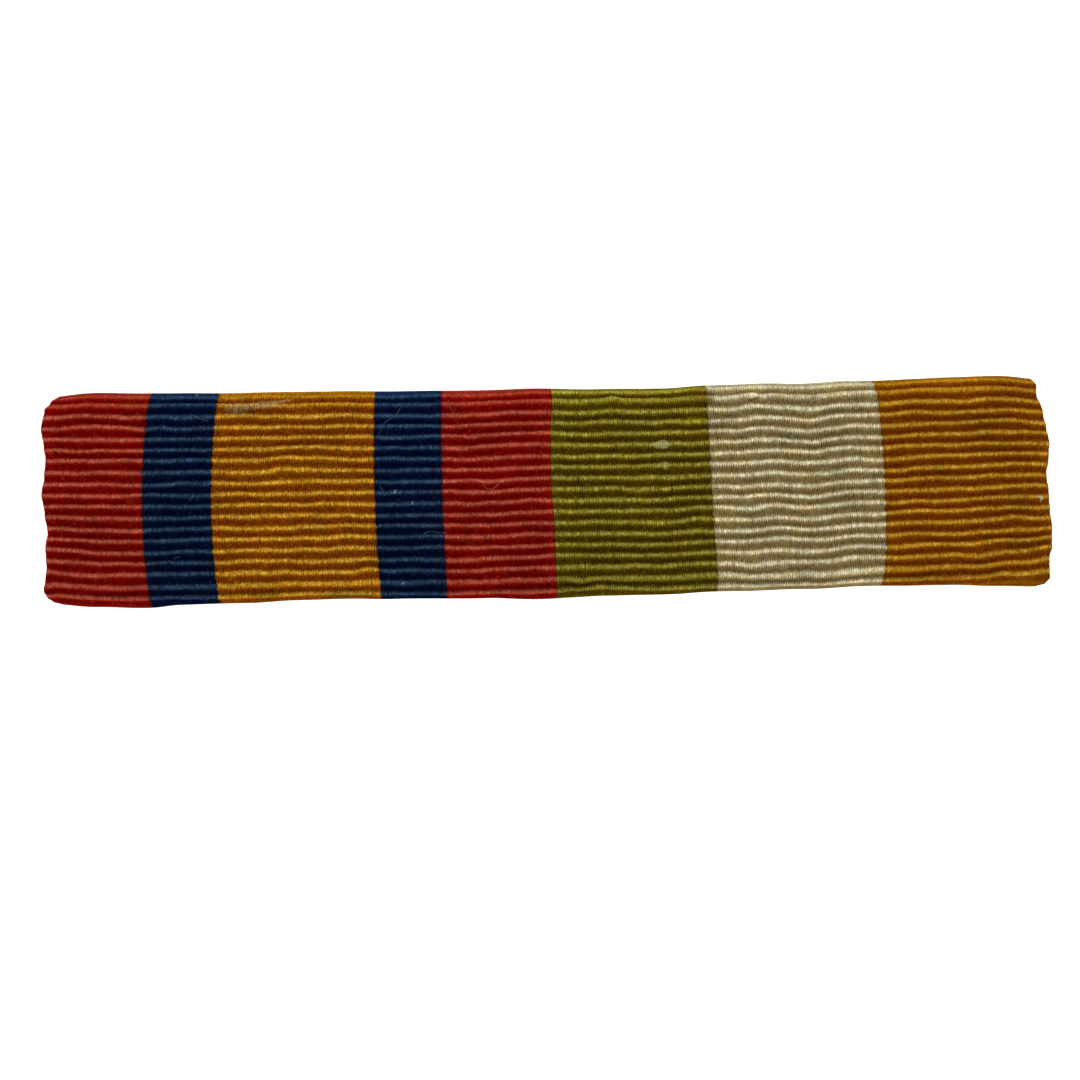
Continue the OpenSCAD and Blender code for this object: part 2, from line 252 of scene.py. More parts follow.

# Stains, worn places and flecks, with painted highlights (gleam) and painted shade (shade). Columns:
# dye, place along and across the bar, half length, half height (mm), turn (degrees), strength, share of
# its brightness that it keeps between ribs.
MARKS = (
    ("wax", -19.9, 5.62, 0.85, 0.42, 0, 0.75, 0.62),
    ("wax", -18.3, 5.80, 1.35, 0.30, 4, 0.70, 0.70),
    ("wax", -17.3, 5.98, 0.90, 0.10, 10, 0.75, 0.90),
    ("wax", -20.0, 5.50, 0.12, 0.36, -15, 0.60, 0.90),
    ("rust", -26.75, 5.98, 0.55, 0.26, 0, 0.35, 0.30),
    ("rust", -26.1, 6.45, 0.50, 0.16, 0, 0.50, 0.40),
    ("rust", -26.6, 4.50, 0.45, 0.22, 0, 0.35, 0.30),
    ("rust", -26.7, -0.10, 0.35, 0.20, 0, 0.35, 0.25),
    ("rust", -4.74, -4.21, 0.22, 0.14, 0, 0.80, 0.30),
    ("rust", -5.3, -3.0, 0.90, 0.30, 0, 0.25, 0.25),
    ("amber", -20.2, -6.25, 0.80, 0.30, 0, 0.60, 0.35),
    ("amber", -15.5, 1.6, 2.60, 0.9, 0, 0.30, 0.30),
    ("moss", -13.3, -6.35, 2.20, 0.42, 0, 0.65, 0.30),
    ("moss", -16.3, 6.35, 1.20, 0.30, 0, 0.40, 0.30),
    ("moss", -19.6, 5.25, 1.10, 0.22, 0, 0.35, 0.40),
    ("frost", -22.5, 6.70, 0.14, 0.30, 0, 0.45, 0.60),
    ("frost", -10.13, 0.12, 0.07, 0.16, 0, 0.70, 0.70),
    ("frost", -9.05, -0.62, 0.06, 0.15, 0, 0.60, 0.70),
    ("frost", -9.79, -5.68, 0.12, 0.14, 0, 0.60, 0.70),
    ("frost", -22.8, -1.15, 0.12, 0.07, 30, 0.40, 0.60),
    ("frost", -23.9, 0.90, 0.16, 0.07, 0, 0.35, 0.60),
    ("blush", -30.2, -1.39, 0.10, 0.08, 0, 0.30, 0.60),
    ("blush", -30.84, 1.43, 0.12, 0.08, 0, 0.30, 0.60),
    ("blush", -27.1, 3.75, 0.15, 0.10, 0, 0.60, 0.60),
    ("blush", -31.92, 3.82, 0.15, 0.12, 0, 0.50, 0.60),
    ("blush", -27.0, 5.05, 0.30, 0.12, 0, 0.45, 0.60),
    ("chalk", 6.98, 2.76, 0.50, 0.31, 0, 1.00, 0.90),
    ("chalk", 6.62, 2.76, 0.40, 0.24, 0, 0.60, 0.70),
    ("chalk", 7.05, 1.57, 0.34, 0.13, 0, 0.75, 0.85),
    ("chalk", 7.12, 1.36, 0.17, 0.26, 0, 0.70, 0.80),
    ("chalk", 6.75, 1.54, 0.36, 0.12, 0, 0.40, 0.60),
    ("gleam", 31.47, -1.26, 0.12, 0.24, -20, 0.55, 0.70),
    ("gleam", 31.30, -1.12, 0.18, 0.08, 25, 0.45, 0.60),
    ("shade", 1.54, 4.90, 0.055, 0.48, 0, 0.85, 0.40),
    ("shade", 1.47, 2.10, 0.045, 0.40, 0, 0.45, 0.40),
    ("shade", 1.50, 0.62, 0.055, 0.40, 0, 0.70, 0.40),
    ("shade", 1.80, -4.90, 0.050, 0.36, 0, 0.80, 0.40),
    ("shade", 7.49, -0.02, 0.050, 0.42, 0, 0.85, 0.40),
    ("shade", 1.55, 6.1, 0.055, 0.30, 0, 0.60, 0.40),
    ("shade", 16.97, 5.73, 0.045, 0.26, 0, 0.60, 0.50),
    ("shade", 16.4, 1.95, 0.045, 0.24, 0, 0.50, 0.50),
    ("shade", 19.2, -0.6, 0.045, 0.30, 0, 0.60, 0.50),
    ("shade", 20.6, 0.4, 0.045, 0.34, 0, 0.50, 0.50),
    ("umber", 9.6, 5.85, 0.90, 0.70, 0, 0.70, 0.35),
    ("umber", 8.9, 3.35, 0.90, 0.40, 0, 0.40, 0.35),
    ("umber", 4.5, 1.4, 1.60, 0.30, 0, 0.30, 0.35),
    ("umber", 3.0, 4.3, 0.90, 0.24, 0, 0.30, 0.35),
    ("straw", 9.0, 4.30, 1.10, 0.26, 0, 0.75, 0.45),
    ("straw", 1.3, -0.9, 0.90, 0.9, 0, 0.35, 0.30),
    ("straw", 1.2, -3.4, 0.90, 0.9, 0, 0.35, 0.30),
    ("straw", 3.6, 0.6, 0.80, 0.24, 0, 0.45, 0.30),
    ("straw", 2.2, 4.9, 1.80, 0.9, 0, 0.30, 0.30),
    ("sage", 18.1, 0.85, 0.90, 0.22, 6, 0.60, 0.55),
    ("sage", 15.1, 3.2, 0.60, 0.18, 0, 0.40, 0.50),
    ("sage", 13.4, -3.5, 1.00, 0.20, 5, 0.25, 0.50),
    # Painted highlights and a painted shadow where the ribs of the cream pinch together
    ("gleam", 12.86, 5.84, 0.50, 0.21, 16, 0.85, 0.85),
    ("gleam", 12.90, 5.10, 0.50, 0.20, 12, 0.80, 0.80),
    ("gleam", 13.27, 5.10, 0.18, 0.12, 25, 1.00, 1.10),
    ("shade", 12.95, 5.56, 0.45, 0.06, 20, 0.60, 0.60),
    ("gleam", 13.62, 2.86, 0.45, 0.10, -4, 0.90, 0.90),
    ("gleam", 17.95, 2.90, 0.35, 0.09, 8, 0.90, 0.90),
    ("gleam", 11.9, -5.72, 0.90, 0.17, 2, 0.70, 0.60),
    ("gleam", 14.50, -5.25, 0.42, 0.20, 0, 0.60, 0.50),
    ("gleam", 14.55, -5.90, 0.40, 0.20, 0, 0.60, 0.50),
    ("gleam", 18.70, -5.60, 0.90, 0.22, 6, 0.75, 0.60),
    ("ember", 26.2, -6.30, 0.28, 0.14, 0, 0.80, 0.90),
    ("ember", 25.6, -6.2, 0.90, 0.28, 0, 0.65, 0.40),
    ("ember", 31.6, 2.0, 0.50, 0.8, 0, 0.55, 0.40),
    ("ember", 25.7, 6.35, 0.9, 0.35, 0, 0.35, 0.40),
    ("ember", 30.3, -6.4, 1.1, 0.22, 4, 0.60, 0.50),
)

# Fine fibres that lie loose on the ribs. Each is a list of places along and across the bar (mm).
FIBRES = (
    ((-11.14, 3.64), (-10.89, 4.12), (-10.75, 4.46), (-10.53, 4.73), (-10.2, 4.9)),
    ((-10.05, 4.92), (-9.83, 5.33), (-9.66, 5.64)),
    ((-6.62, 6.03), (-6.63, 5.79), (-6.5, 5.51), (-6.34, 5.23), (-6.17, 4.95)),
    ((-4.56, 0.54), (-4.36, 0.3), (-3.99, 0.22), (-3.74, 0.39), (-3.53, 0.52)),
    ((-11.08, 0.45), (-10.92, 0.2), (-10.79, -0.14)),
    ((-8.45, -2.63), (-8.18, -2.47), (-7.83, -2.41), (-7.4, -2.5), (-6.94, -2.5)),
    ((-12.34, 0.58), (-12.07, 0.43), (-11.86, 0.46)),
    ((-22.87, 5.23), (-22.25, 4.96), (-21.76, 4.76)),
    ((-22.77, 0.04), (-23.02, -0.3)),
    ((-24.05, -3.93), (-23.86, -3.83), (-23.65, -3.81)),
)
FIBRE_RADIUS = 0.011 * MM
FIBRE_LIFT = 0.02 * MM

# Camera and lights round the bar, in metres and degrees
CAMERA_PLACE = (-0.01289, -0.00993, 0.15728)
CAMERA_TURN = (2.56, -4.47, -1.36)
CAMERA_LENS_MM = 80.0
FLOOR_SIZE = 3.0
FLOOR_DROP = 0.02 * MM
KEY_SIZE, KEY_PLACE = 0.12, (0.01, 0.30, 0.20)
FILL_SIZE, FILL_PLACE = 0.40, (-0.05, -0.10, 0.45)
WHITE = (1.0, 1.0, 1.0, 1.0)


def setting(kind, name, description, default, **options):
    """One of the add-on's values, with its name, description and default."""
    return kind(name=name, description=description, default=default, **options)


def length(name, description, default):
    return setting(bpy.props.FloatProperty, name, description, default, unit="LENGTH", min=0.0, precision=5)


def colour(name, description, default):
    return setting(
        bpy.props.FloatVectorProperty, name, description, default,
        subtype="COLOR", size=3, min=0.0, max=1.0,
    )


def amount(name, description, default):
    return setting(bpy.props.FloatProperty, name, description, default, subtype="FACTOR", min=0.0, max=1.0)


def watts(name, description, default):
    return setting(bpy.props.FloatProperty, name, description, default, min=0.0)


class RibbonBarCloth(bpy.types.PropertyGroup):
    ribbon_width: length("Ribbon width", "Woven width of one ribbon, half of the bar's length", 0.0322)
    bar_height: length("Bar height", "Height over the ribs of the top and bottom folds", 0.0138)
    cloth_thickness: length("Cloth thickness", "Thickness half way up the ribs", 0.001)
    rib_pitch: length("Rib pitch", "Distance from one rib to the next", 0.00071)
    rib_height: length("Rib height", "Height of a rib over the groove beside it", 0.00024)
    edge_wave: length("Edge wave", "How far a long edge dips where the cloth pulls it in most", 0.0004)
    end_wave: length("End wave", "How far an end draws in where its woven edge waves most", 0.00034)
    fit: length("Fit", "Gap between the cloth and the plate", 0.00005)
    joint_gap: length("Joint gap", "Gap between the two ribbons", 0.000012)
    cut_back: length("Cut back", "From the bar's middle line to a turned-in end of the cloth", 0.0028)
    selvedge_radius: length("Selvedge radius", "Roundness of a woven edge at an end of the bar", 0.00016)
    thread_pitch: length("Thread pitch", "Distance from one warp thread to the next", 0.00015)
    wander: length("Wander", "How far a rib strays from its line", 0.00014)
    relief: length("Relief", "How far the face rises and falls in slow waves", 0.00003)


# Each dye comes twice: a lit copy with its painted highlight, for the line on a rib, and a darker copy with
# its painted shade, for between the ribs. Shade is painted shade, gleam a painted highlight.
class RibbonBarDyes(bpy.types.PropertyGroup):
    crimson: colour("Crimson", "Faded stripe of the left ribbon, on a rib", (0.465, 0.092, 0.055))
    crimson_deep: colour("Deep crimson", "The same between the ribs", (0.214, 0.0008, 0.0003))
    navy: colour("Navy", "Faded stripe of the left ribbon, on a rib", (0.032, 0.064, 0.108))
    navy_deep: colour("Deep navy", "The same between the ribs", (0.0002, 0.0035, 0.026))
    gold: colour("Gold", "Faded middle stripe of the left ribbon, on a rib", (0.625, 0.322, 0.033))
    gold_deep: colour("Deep gold", "The same between the ribs", (0.262, 0.056, 0.0002))
    olive: colour("Olive green", "Faded stripe of the right ribbon, on a rib", (0.315, 0.280, 0.044))
    olive_deep: colour("Deep olive green", "The same between the ribs", (0.090, 0.051, 0.0001))
    cream: colour("Cream white", "Faded middle stripe of the right ribbon, on a rib", (0.785, 0.695, 0.415))
    cream_deep: colour("Deep cream", "The same between the ribs", (0.302, 0.216, 0.084))
    orange: colour("Golden orange", "Faded stripe of the right ribbon, on a rib", (0.545, 0.28, 0.028))
    orange_deep: colour("Deep orange", "The same between the ribs", (0.208, 0.044, 0.0001))
    ticks: amount("Thread ticks", "How plainly the single warp threads show", 0.8)
    wax: colour("Wax", "Pale smear", (0.58, 0.345, 0.12))
    rust: colour("Rust", "Orange threads in the crimson", (0.62, 0.12, 0.03))
    amber: colour("Amber", "Fresher gold", (0.62, 0.27, 0.005))
    moss: colour("Moss", "Greenish tint of the gold", (0.24, 0.19, 0.02))
    frost: colour("Frost", "Pale flecks on the navy", (0.15, 0.22, 0.27))
    blush: colour("Blush", "Pale flecks on the crimson", (0.64, 0.18, 0.10))
    chalk: colour("Chalk", "Pale spots", (0.47, 0.41, 0.14))
    shade: colour("Shade", "Dark nicks between threads", (0.03, 0.02, 0.002))
    umber: colour("Umber", "Brown tint of the olive green", (0.26, 0.14, 0.008))
    straw: colour("Straw", "Yellow tint of the olive green", (0.33, 0.27, 0.01))
    sage: colour("Sage", "Green tint of the cream", (0.42, 0.45, 0.25))
    gleam: colour("Gleam", "Places where the cream shines", (0.86, 0.77, 0.46))
    ember: colour("Ember", "Redder orange", (0.55, 0.19, 0.01))
    fibre: colour("Fibre", "Loose fibres", (0.13, 0.19, 0.23))


class RibbonBarMetals(bpy.types.PropertyGroup):
    brass: colour("Brass", "Sheet of the backing plate", (0.56, 0.38, 0.15))
    tarnish: colour("Tarnish", "Brown film on the brass", (0.16, 0.09, 0.035))
    steel: colour("Steel", "Nickel-plated steel of the brooch pin", (0.56, 0.55, 0.52))
    rust: colour("Worn steel", "Bare steel where the plating is gone", (0.20, 0.16, 0.13))


class RibbonBarStage(bpy.types.PropertyGroup):
    floor: colour("Floor", "Colour of the pale floor", (0.86, 0.86, 0.86))
    floor_glow: amount("Floor glow", "Light that the floor gives off by itself", 0.9)
    key_power: watts("Key light", "Power of the key light, in watts", 0.42)
    fill_power: watts("Fill light", "Power of the fill light, in watts", 0.72)
    sky: amount("Sky", "Strength of the even light all round", 0.25)


def select_only(*objects):
    """Deselects all else, because an operator acts on all that is selected."""
    bpy.ops.object.select_all(action="DESELECT")
    for piece in objects:
        piece.select_set(True)
    bpy.context.view_layer.objects.active = objects[-1] if objects else None


def finish_mesh():
    """Turns all faces outwards, then leaves edit mode and shades the piece smooth."""
    bpy.ops.mesh.select_all(action="SELECT")
    bpy.ops.mesh.normals_make_consistent(inside=False)
    bpy.ops.object.mode_set(mode="OBJECT")
    bpy.ops.object.shade_smooth_by_angle(angle=math.radians(60))


def eased(table, column, share):
    """A column of a table at a share, easing from row to row."""
    row = np.clip(np.searchsorted(table[:, 0], share, side="right") - 1, 0, len(table) - 2)
    low, high = table[row], table[row + 1]
    t = np.clip((share - low[..., 0]) / (high[..., 0] - low[..., 0]), 0, 1)
    return low[..., column] + (high[..., column] - low[..., column]) * (1 - np.cos(np.pi * t)) / 2


def smooth_noise(a, b, seed):
    """Even noise from -1 to 1 over two coordinates, one wave to a unit."""
    size = 97
    lattice = np.random.default_rng(seed).uniform(-1, 1, (size, size))
    a0, b0 = np.floor(a).astype(int), np.floor(b).astype(int)
    ta, tb = a - a0, b - b0
    ta, tb = ta * ta * (3 - 2 * ta), tb * tb * (3 - 2 * tb)
    a0, b0, a1, b1 = a0 % size, b0 % size, (a0 + 1) % size, (b0 + 1) % size
    near = lattice[a0, b0] * (1 - ta) + lattice[a1, b0] * ta
    far = lattice[a0, b1] * (1 - ta) + lattice[a1, b1] * ta
    return near * (1 - tb) + far * tb


class Wrap:
    """The cloth's way round the plate, worked out from the add-on's sizes."""

    # Where the first rib below the middle starts, in ribs, and how closely a long edge's own wave
    # keeps to that edge
    rib_start = 0.95
    edge_power = 4
    rib_roundness = 1.5
    rows_per_rib = 10
    # Ribs are shallower close to a woven edge, and on the rounds of the folds, which start here
    edge_reach = 0.35 * MM
    edge_loss = 0.75
    top_round_mm, bottom_round_mm = 6.45, 6.35
    round_loss = 0.85
    # How the ribs stray, in three sizes. Columns: part of the wander, wave along the bar (mm), wave
    # across it (ribs), shifts of the noise, seed.
    strays = (
        (0.50, 3.20, 1.6, 40, 40, 11),
        (0.35, 1.30, 1.0, 60, 40, 12),
        (0.15, 0.55, 1.0, 80, 50, 13),
    )

    def __init__(self, cloth):
        self.cloth = cloth
        plate_t = PLATE_HIGH.z - PLATE_LOW.z
        self.axis_z = (PLATE_HIGH.z + PLATE_LOW.z) / 2
        self.inner_r = plate_t / 2 + cloth.fit
        self.outer_r = self.inner_r + cloth.cloth_thickness + cloth.rib_height / 2
        self.flat_half = cloth.bar_height / 2 - self.outer_r
        self.fold_end = self.flat_half + math.pi * self.outer_r
        self.cloth_end = self.fold_end + self.flat_half - cloth.cut_back

    def rows(self):
        """Places along the cloth of the mesh's rows, evenly spaced and in step with the ribs."""
        pitch = self.cloth.rib_pitch
        half = (math.ceil(self.cloth_end / pitch) + 1) * self.rows_per_rib
        places = (np.arange(-half, half) / self.rows_per_rib + self.rib_start) * pitch
        places = places[np.abs(places) < self.cloth_end - pitch / 12]
        return np.concatenate([[-self.cloth_end], places, [self.cloth_end]])

    def rise(self, s):
        """Height of the cloth over its grooves at a place along it, 0 to 1."""
        share = s / self.cloth.rib_pitch - self.rib_start
        return np.abs(np.cos(np.pi * share)) ** self.rib_roundness

    def lifted(self, x, y):
        """The cloth's own course carries a point up or down."""
        cloth = self.cloth
        along = x / (2 * cloth.ribbon_width) + 0.5
        near_edge = np.abs(2 * y / cloth.bar_height) ** self.edge_power
        edge = np.where(y > 0, -eased(COURSE, TOP, along), eased(COURSE, BOTTOM, along))
        lift = cloth.edge_wave * (edge * near_edge + eased(COURSE, MIDDLE, along) * (1 - near_edge))
        for at_x, at_y, reach_x, reach_y, height in RIPPLES * MM:
            far = ((x - at_x) / reach_x) ** 2 + ((y - at_y) / reach_y) ** 2
            lift = lift + height * np.exp(-far)
        return y + lift

    def slid(self, s, x):
        """Place on the plain wrapped cloth of a rib that has slid or strayed."""
        cloth = self.cloth
        along = x / (2 * cloth.ribbon_width) + 0.5
        into_top = eased(SLIDES, 1, np.clip(-s / self.fold_end, 0, 1)) * eased(CROWDS, 1, along)
        into_bottom = eased(SLIDES, 2, np.clip(s / self.fold_end, 0, 1)) * eased(CROWDS, 2, along)
        crowd = (into_bottom - into_top) * cloth.rib_pitch
        rib = s / cloth.rib_pitch
        stray = sum(
            part * smooth_noise(x / (wave * MM) + shift_x, rib / ribs + shift_y, seed)
            for part, wave, ribs, shift_x, shift_y, seed in self.strays
        )
        return s + crowd + cloth.wander * stray

    def across(self, which, y, share):
        """Distance from the bar's middle of a share of a ribbon's width, at height y."""
        cloth = self.cloth
        down = 0.5 - y / cloth.bar_height
        t = np.clip(2 * y / cloth.bar_height, -1, 1)
        joint = -cloth.end_wave * eased(ENDS, JOINT, down)
        if which == 0:
            left = cloth.end_wave * eased(ENDS, LEFT, down) - cloth.ribbon_width
            right = joint - cloth.joint_gap / 2
        else:
            left = joint + cloth.joint_gap / 2
            right = cloth.ribbon_width - cloth.end_wave * eased(ENDS, RIGHT, down)
        shares, places = [0.0], [left]
        for ribbon, seam_share, top, middle, bottom in SEAMS:
            if ribbon == which:
                shares.append(seam_share)
                line = top * t * (t + 1) / 2 + middle * (1 - t * t) + bottom * t * (t - 1) / 2
                places.append(line * MM)
        shares.append(1.0)
        places.append(right)
        x = places[0]
        for i in range(len(shares) - 1):
            part = np.clip((share - shares[i]) / (shares[i + 1] - shares[i]), 0, 1)
            x = x + (places[i + 1] - places[i]) * part
        return x

    def point(self, which, s, share, inset, depth_share, drop):
        """Points of the cloth, from places along it and across it. depth_share is 0 on the ribbed
        side and 1 on the plain side, inset moves a point away from its woven edge."""
        cloth = self.cloth
        rough_x = (share - (1 if which == 0 else 0)) * cloth.ribbon_width
        place = self.slid(s, rough_x)
        side, far = np.where(place < 0, 1.0, -1.0), np.abs(place)
        past = far - self.flat_half
        turn = np.clip(past / self.outer_r, 0, np.pi)
        run = np.where(past <= 0, far, self.flat_half - np.maximum(far - self.fold_end, 0))
        rib = s / cloth.rib_pitch
        uneven = 1 + 0.12 * smooth_noise(rough_x / (2.0 * MM) + 20, rib + 30, 21)
        edge = np.exp(-np.minimum(share, 1 - share) * cloth.ribbon_width / self.edge_reach)
        into_round = np.maximum(-s / MM - self.top_round_mm, s / MM - self.bottom_round_mm)
        on_round = np.clip(into_round / 0.3, 0, 1) * np.clip((1.7 - into_round) / 0.6, 0, 1)
        uneven = uneven * (1 - self.round_loss * on_round)
        depth = cloth.rib_height * uneven * (1 - self.rise(s)) * (1 - self.edge_loss * edge)
        swell = cloth.relief * smooth_noise(rough_x / (4.5 * MM) + 30, rib / 5 + 30, 22)
        outer = self.outer_r - depth + swell
        reach = outer - drop + (self.inner_r - outer + drop) * depth_share
        y = side * (run + reach * np.sin(turn))
        z = self.axis_z + reach * np.cos(turn)
        x = self.across(which, y, share)
        x = x + np.where(share < 0.5, inset, -inset)
        return np.stack([x, self.lifted(x, y), z], -1)


def ring_columns(wrap, which):
    """The mesh's columns round the cloth's own section. Rows: share of the ribbon's width, inset
    from its woven edge, share of the way to the plain side, drop from the ribs, share of a scallop."""
    columns = []
    cloth = wrap.cloth
    radii = [cloth.selvedge_radius, cloth.selvedge_radius]
    radii[1 - which] = cloth.selvedge_radius / 4
    first, last = radii
    face_steps, turn_steps, plain_steps = 150, 4, 18
    inset_run, scallop_run = 40, 60
    half_way = (0.55, 0.0, 0.4)
    for i in range(turn_steps):
        a = math.pi / 2 * (1 - i / turn_steps)
        columns.append((0.0, first * (1 - math.sin(a)), 0.0, first * (1 - math.cos(a)), 1.0))
    for i in range(face_steps + 1):
        share = i / face_steps
        inset = first * max(1 - inset_run * share, 0.0) + last * max(1 - inset_run * (1 - share), 0.0)
        scallop = max(1 - share * scallop_run, 1 - (1 - share) * scallop_run, 0.0)
        columns.append((share, inset, 0.0, 0.0, scallop))
    for i in range(1, turn_steps + 1):
        a = math.pi / 2 * i / turn_steps
        columns.append((1.0, last * (1 - math.sin(a)), 0.0, last * (1 - math.cos(a)), 1.0))
    columns.append((1.0, 0.0, *half_way))
    for i in range(plain_steps + 1):
        columns.append((1.0 - i / plain_steps, 0.0, 1.0, 0.0, 0.0))
    columns.append((0.0, 0.0, *half_way))
    columns.append(columns[0])
    return np.array(columns)


def make_ribbon(name, which):
    """One ribbon as a closed, ribbed wall of cloth, from a grid that is rolled round its section."""
    cloth = bpy.context.scene.ribbon_bar_cloth
    wrap = Wrap(cloth)
    rows = wrap.rows()
    columns = ring_columns(wrap, which)
    select_only()
    bpy.ops.mesh.primitive_grid_add(
        x_subdivisions=len(columns) - 1, y_subdivisions=len(rows) - 1, size=2, location=(0, 0, 0),
    )
    ribbon = bpy.context.object
    ribbon.name = name
    mesh = ribbon.data
    mesh.name = name
    flat = np.empty(len(mesh.vertices) * 3)
    mesh.vertices.foreach_get("co", flat)
    flat = flat.reshape(-1, 3)
    column = np.rint((flat[:, 0] + 1) / 2 * (len(columns) - 1)).astype(int)
    row = np.rint((flat[:, 1] + 1) / 2 * (len(rows) - 1)).astype(int)
    s = rows[row]
    share, inset, depth_share, drop, scallop = columns[column].T
    outer_side = (share < 0.5) == (which == 0)
    bulge_share, mean_rise = 0.08, 0.6
    bulge = cloth.selvedge_radius * bulge_share * (wrap.rise(s) - mean_rise) * scallop * outer_side
    points = wrap.point(which, s, share, inset - bulge, depth_share, drop)
    mesh.vertices.foreach_set("co", points.ravel())

    uv = mesh.uv_layers[0]
    uv.name = "cloth"
    corner = np.empty(len(mesh.loops), dtype=np.int32)
    mesh.loops.foreach_get("vertex_index", corner)
    inwards = np.where(share < 0.5, inset, -inset) * (np.abs(share - 0.5) == 0.5)
    across = share + inwards / cloth.ribbon_width
    flat_cloth = np.stack([across[corner], s[corner] / (2 * wrap.cloth_end) + 0.5], -1)
    uv.data.foreach_set("uv", flat_cloth.ravel())

    bpy.ops.object.mode_set(mode="EDIT")
    bpy.ops.mesh.select_all(action="SELECT")
    bpy.ops.mesh.remove_doubles(threshold=1e-9)
    bpy.ops.mesh.select_all(action="DESELECT")
    bpy.ops.mesh.select_non_manifold(extend=False, use_wire=False, use_multi_face=False, use_verts=False)
    bpy.ops.mesh.fill(use_beauty=True)
    finish_mesh()
    return ribbon


def link(tree, source, socket):
    tree.links.new(source, socket)


def add_node(tree, kind, inputs=(), **settings):
    """A node with its settings, and its inputs set to a number or joined to another node's output."""
    node = tree.nodes.new(kind)
    for key, value in settings.items():
        setattr(node, key, value)
    for key, value in dict(inputs).items():
        if isinstance(value, bpy.types.NodeSocket):
            link(tree, value, node.inputs[key])
        else:
            node.inputs[key].default_value = value
    return node


def sums(tree, operation, *values, clamp=False):
    """Output of a Math node."""
    node = add_node(tree, "ShaderNodeMath", enumerate(values), operation=operation, use_clamp=clamp)
    return node.outputs[0]


def times(tree, a, b, plus=0.0, clamp=False):
    """Output of a Math node that multiplies two values and adds a third."""
    if plus == 0.0:
        return sums(tree, "MULTIPLY", a, b, clamp=clamp)
    return sums(tree, "MULTIPLY_ADD", a, b, plus, clamp=clamp)


def vectors(tree, operation, inputs):
    """Output of a sum with vectors."""
    return add_node(tree, "ShaderNodeVectorMath", inputs, operation=operation).outputs[0]


def mixed(tree, factor, a, b, blend="MIX"):
    """Output of a node that mixes two colours, each a socket or a plain red, green and blue."""
    a, b = [shade if isinstance(shade, bpy.types.NodeSocket) else (*shade, 1.0) for shade in (a, b)]
    node = add_node(tree, "ShaderNodeMix", {0: factor, 6: a, 7: b}, data_type="RGBA", blend_type=blend)
    return node.outputs[2]


def scaled(tree, shade, by):
    """A colour multiplied by another."""
    return mixed(tree, 1.0, shade, by, "MULTIPLY")


def tinted(tree, mask, shade, by):
    """A colour multiplied by another as far as a mask says."""
    return mixed(tree, mask, shade, scaled(tree, shade, by))


def grid(tree, x, y):
    """A vector from two counts, for a pattern that follows the weave."""
    return add_node(tree, "ShaderNodeCombineXYZ", {0: x, 1: y}).outputs[0]


def object_place(tree):
    """Place in the part's own frame."""
    return add_node(tree, "ShaderNodeTexCoord").outputs["Object"]


def grey(tree, level):
    """A grey that scales a colour."""
    return add_node(tree, "ShaderNodeCombineColor", {0: level, 1: level, 2: level}).outputs[0]


def ranged(tree, value, low, high, to_low=0.0, to_high=1.0):
    """Output of a node that carries a range over to another, with soft ends."""
    inputs = {0: value, 1: low, 2: high, 3: to_low, 4: to_high}
    return add_node(tree, "ShaderNodeMapRange", inputs, interpolation_type="SMOOTHSTEP").outputs[0]


def ranged_grey(tree, value, low, high, to_low, to_high):
    """A grey that scales a colour, from a range of a value."""
    return grey(tree, ranged(tree, value, low, high, to_low, to_high))


def turned(tree, vector, degrees):
    """A vector turned about the axis that stands on the face."""
    inputs = {"Vector": vector, "Axis": (0.0, 0.0, 1.0), "Angle": math.radians(degrees)}
    return add_node(tree, "ShaderNodeVectorRotate", inputs).outputs[0]


def noise(tree, vector, scale, detail=2.0, roughness=0.5):
    inputs = {"Vector": vector, "Scale": scale, "Detail": detail, "Roughness": roughness}
    return add_node(tree, "ShaderNodeTexNoise", inputs).outputs["Fac"]


def stretched(tree, vector, x, y, z, place=(0.0, 0.0, 0.0)):
    """A vector with each axis scaled by itself."""
    inputs = {"Vector": vector, "Scale": (x, y, z), "Location": place}
    return add_node(tree, "ShaderNodeMapping", inputs).outputs[0]


def spot(tree, place, x, y, reach_x, reach_y, turn=0.0):
    """A soft mask round a place on the face, given in millimetres."""
    depth = 1.6 * MM
    middle = (x * MM, y * MM, CAD_BOX[1][2])
    offset = vectors(tree, "SUBTRACT", {0: place, 1: middle})
    aligned = turned(tree, offset, -turn)
    near = stretched(tree, aligned, 1 / (reach_x * MM), 1 / (reach_y * MM), 1 / depth)
    far = add_node(tree, "ShaderNodeVectorMath", {0: near}, operation="LENGTH").outputs["Value"]
    return ranged(tree, far, 1.15, 0.55)


def new_material(name, levels):
    """A material with one shader, whose plain levels are given by name."""
    material = bpy.data.materials.new(name)
    material.use_nodes = True
    tree = material.node_tree
    tree.nodes.clear()
    shader = add_node(tree, "ShaderNodeBsdfPrincipled", levels)
    add_node(tree, "ShaderNodeOutputMaterial", {0: shader.outputs[0]})
    return material, tree, shader


def bumped(tree, shader, strength, distance, height):
    """Fine relief in a finish."""
    bump = add_node(tree, "ShaderNodeBump", {"Strength": strength, "Distance": distance, "Height": height})
    link(tree, bump.outputs[0], shader.inputs["Normal"])


def striped(tree, share, stops):
    """Colours side by side across the cloth. Each stop is the share where it starts and its colour."""
    blend = 0.0012
    shade = stops[0][1]
    for start, following in stops[1:]:
        shade = mixed(tree, ranged(tree, share, start - blend, start + blend), shade, following)
    return shade


